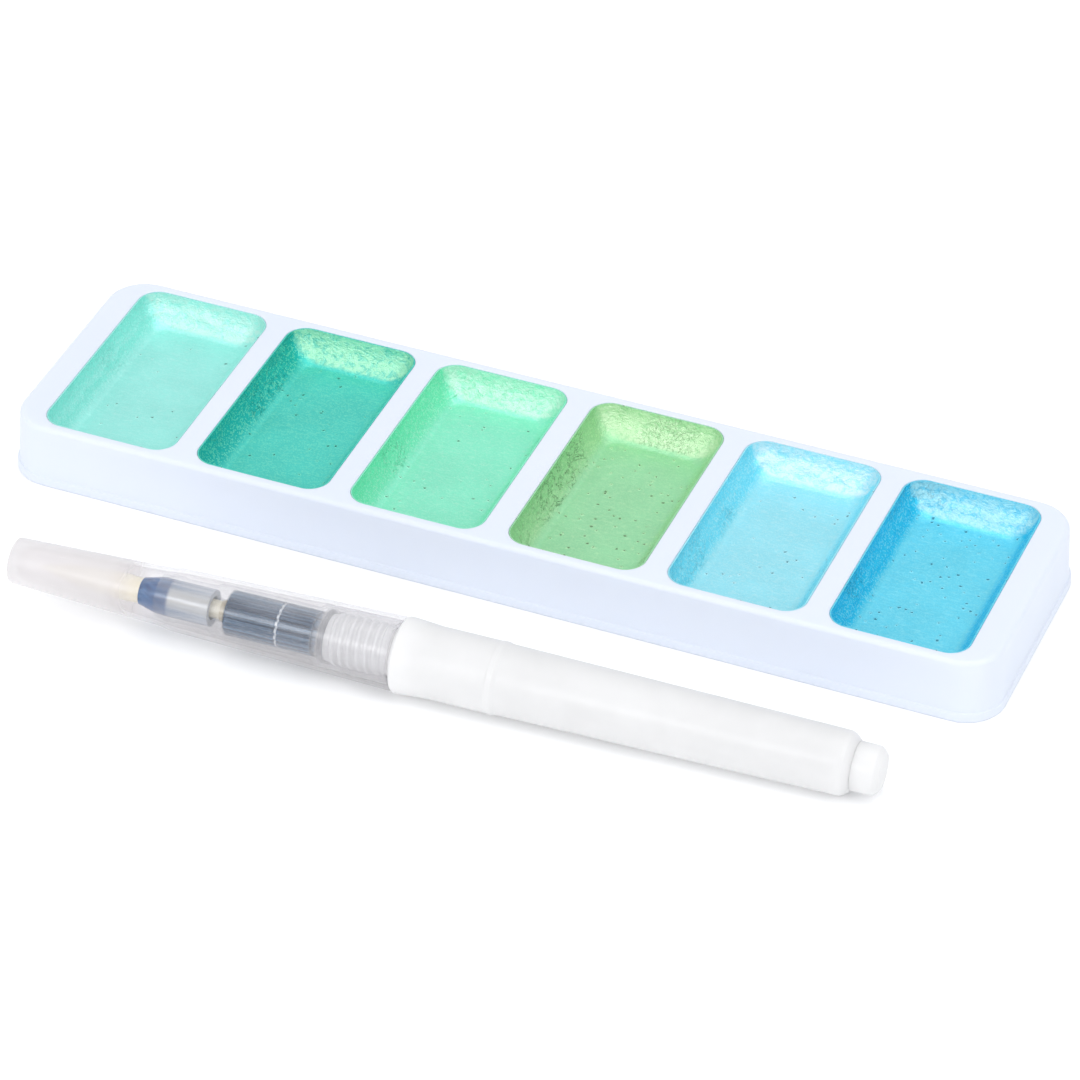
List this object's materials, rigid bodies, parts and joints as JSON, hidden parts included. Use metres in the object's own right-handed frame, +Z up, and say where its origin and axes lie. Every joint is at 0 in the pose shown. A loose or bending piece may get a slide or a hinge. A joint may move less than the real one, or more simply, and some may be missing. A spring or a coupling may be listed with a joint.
{
  "type": "watercolor pan set",
  "caption": "Long low moulded tray with rounded wells of pearl watercolour paint, and a clear capped water brush with a squeezable barrel lying in front of it.",
  "frame": {"origin": "on the table, at the middle of the footprint of the tray and the brush together", "axes": "+X along the tray towards the azure well, +Y from the brush towards the tray, +Z up"},
  "size_m": [0.1882, 0.0848, 0.0135],
  "materials": {
    "tray_plastic": "satin injection-moulded polystyrene, cool white",
    "paint_aqua": "dried pearl watercolour, satin",
    "paint_teal": "dried pearl watercolour, satin",
    "paint_mint": "dried pearl watercolour, satin",
    "paint_leaf": "dried pearl watercolour, satin",
    "paint_sky": "dried pearl watercolour, satin",
    "paint_azure": "dried pearl watercolour, satin",
    "cap_plastic": "slightly milky clear polypropylene",
    "bristle_fibre": "cream nylon filament",
    "binder_resin": "amber binding resin",
    "ferrule_plastic": "translucent navy plastic",
    "sleeve_plastic": "clear plastic",
    "feed_plastic": "dark blue-grey moulded plastic",
    "seal_rubber": "dark rubber",
    "barrel_plastic": "frosted soft polyethylene",
    "plug_plastic": "frosted polyethylene"
  },
  "bodies": {
    "root": {"tray": "tray_plastic", "paint_aqua": "paint_aqua", "paint_teal": "paint_teal", "paint_mint": "paint_mint", "paint_leaf": "paint_leaf", "paint_sky": "paint_sky", "paint_azure": "paint_azure"},
    "brush": {"barrel": "barrel_plastic", "tail_plug": "plug_plastic"},
    "seal": {"o_ring": "seal_rubber"},
    "head": {"head_sleeve": "sleeve_plastic", "ferrule": "ferrule_plastic", "feed": "feed_plastic", "bristles": "bristle_fibre", "bristle_binder": "binder_resin"},
    "cap": {"cap": "cap_plastic"}
  },
  "joints": [
    {"name": "brush_lift", "type": "slide", "parent": "root", "child": "brush", "axis": [0, 0, 1], "range_m": [0, 0.1]},
    {"name": "head_travel", "type": "slide", "parent": "brush", "child": "seal", "axis": [-0.999, -0.0419, 0.0138], "range_m": [0, 0.01314]},
    {"name": "head_turn", "type": "hinge", "parent": "seal", "child": "head", "pos_m": [-0.01531, -0.03587, 0.00694], "axis": [-0.999, -0.0419, 0.0138], "range_deg": [0, 3060]},
    {"name": "cap_pull", "type": "slide", "parent": "seal", "child": "cap", "axis": [-0.999, -0.0419, 0.0138], "range_m": [0, 0.075]}
  ],
  "couplings": [
    {"joint": "head_turn", "follows": "head_travel", "rad_per_m": 4053.7}
  ]
}
